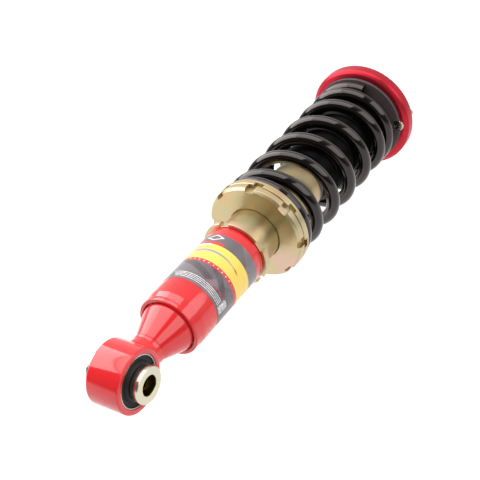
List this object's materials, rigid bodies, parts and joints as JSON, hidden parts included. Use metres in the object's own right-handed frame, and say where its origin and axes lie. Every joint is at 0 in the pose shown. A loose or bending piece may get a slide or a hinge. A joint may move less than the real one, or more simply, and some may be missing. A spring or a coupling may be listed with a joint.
{
  "type": "coilover damper",
  "caption": "Threaded-body coilover: bushed lower eye, tapered socket, damper tube with spring perch and lock rings, closed coil spring, and a round top mount plate with short studs.",
  "frame": {"origin": "centre of the lower eye's bolt hole", "axes": "+X up the damper from the lower eye to the top mount, +Y along the eye's bolt, +Z across both, up as it lies"},
  "size_m": [0.4761, 0.1064, 0.1064],
  "materials": {
    "red_powder_coat": "glossy red powder coat on steel",
    "red_anodised": "satin deep red anodised aluminium",
    "grey_vinyl": "printed grey vinyl with yellow, red and white bands",
    "bare_steel": "plain turned steel",
    "black_rubber": "matt black moulded rubber",
    "pale_zinc": "pale zinc plate with a faint yellow cast",
    "yellow_zinc": "yellow zinc plate with faint pink and green tints",
    "machined_aluminium": "machined aluminium",
    "black_anodised": "satin black anodised aluminium",
    "black_enamel": "gloss black enamel on spring steel",
    "hard_chrome": "ground hard chrome",
    "black_plastic": "plain black bearing plastic",
    "bump_foam": "cream microcellular foam"
  },
  "bodies": {
    "lower_mount": {"eye_housing": "red_powder_coat", "bush_outer_shell": "bare_steel", "bush_rubber": "black_rubber", "mount_cone": "red_powder_coat", "socket_body": "red_powder_coat", "label_wrap": "grey_vinyl"},
    "bush_sleeve": {"eye_sleeve": "pale_zinc", "eye_spacer_left": "pale_zinc", "eye_spacer_right": "pale_zinc"},
    "lock_collar": {"body_lock_collar": "yellow_zinc"},
    "damper": {"damper_tube": "yellow_zinc", "tube_base_plug": "machined_aluminium", "rod_guide": "machined_aluminium", "rod_seal": "black_rubber", "gland_cap": "black_anodised"},
    "gas_piston": {"floating_piston": "machined_aluminium", "floating_piston_ring": "black_rubber"},
    "spring": {"coil_spring": "black_enamel"},
    "perch": {"spring_perch": "yellow_zinc"},
    "lock_ring": {"perch_lock_ring": "yellow_zinc"},
    "rod": {"piston_rod": "hard_chrome", "piston": "machined_aluminium", "piston_band": "black_plastic", "rebound_shims": "bare_steel", "compression_shims": "bare_steel", "piston_nut": "bare_steel", "bump_stop": "bump_foam", "dust_boot": "black_rubber", "rod_spacer": "pale_zinc", "bearing_ball": "hard_chrome", "rod_washer": "pale_zinc", "rod_nut": "pale_zinc"},
    "top_mount": {"upper_spring_seat": "black_anodised", "top_plate": "red_anodised", "bearing_race": "bare_steel", "bearing_circlip": "bare_steel", "mount_stud_1": "pale_zinc", "mount_stud_2": "pale_zinc"},
    "knob": {"damping_knob": "red_anodised"}
  },
  "joints": [
    {"name": "bush_twist", "type": "hinge", "parent": "lower_mount", "child": "bush_sleeve", "pos_m": [0, 0, 0], "axis": [0, 1, 0], "range_deg": [-15, 15], "stiffness_Nm_per_rad": 8},
    {"name": "collar_turn", "type": "hinge", "parent": "lower_mount", "child": "lock_collar", "pos_m": [0.1659, 0, 0], "axis": [1, 0, 0], "range_deg": [0, 60]},
    {"name": "ride_height", "type": "slide", "parent": "lower_mount", "child": "damper", "axis": [1, 0, 0], "range_m": [-0.015, 0.03]},
    {"name": "gas_piston_slide", "type": "slide", "parent": "damper", "child": "gas_piston", "axis": [1, 0, 0], "range_m": [-0.0053, 0]},
    {"name": "perch_height", "type": "slide", "parent": "damper", "child": "spring", "axis": [1, 0, 0], "range_m": [-0.0121, 0]},
    {"name": "perch_turn", "type": "hinge", "parent": "spring", "child": "perch", "pos_m": [0.2084, 0, 0], "axis": [1, 0, 0], "range_deg": [-2880, 0]},
    {"name": "lock_ring_turn", "type": "hinge", "parent": "perch", "child": "lock_ring", "pos_m": [0.2004, 0, 0], "axis": [1, 0, 0], "range_deg": [-60, 0]},
    {"name": "damper_stroke", "type": "slide", "parent": "damper", "child": "rod", "axis": [1, 0, 0], "range_m": [-0.07, 0], "stiffness_N_per_m": 70000, "deforming": ["coil_spring", "dust_boot"]},
    {"name": "top_mount_turn", "type": "hinge", "parent": "rod", "child": "top_mount", "pos_m": [0.41625, 0, 0], "axis": [1, 0, 0], "continuous": true},
    {"name": "knob_turn", "type": "hinge", "parent": "rod", "child": "knob", "pos_m": [0.4438, 0, 0], "axis": [1, 0, 0], "range_deg": [0, 900]}
  ],
  "couplings": [
    {"joint": "perch_height", "follows": "perch_turn", "m_per_rad": 0.00023873},
    {"joint": "gas_piston_slide", "follows": "damper_stroke", "ratio": 0.0744}
  ]
}
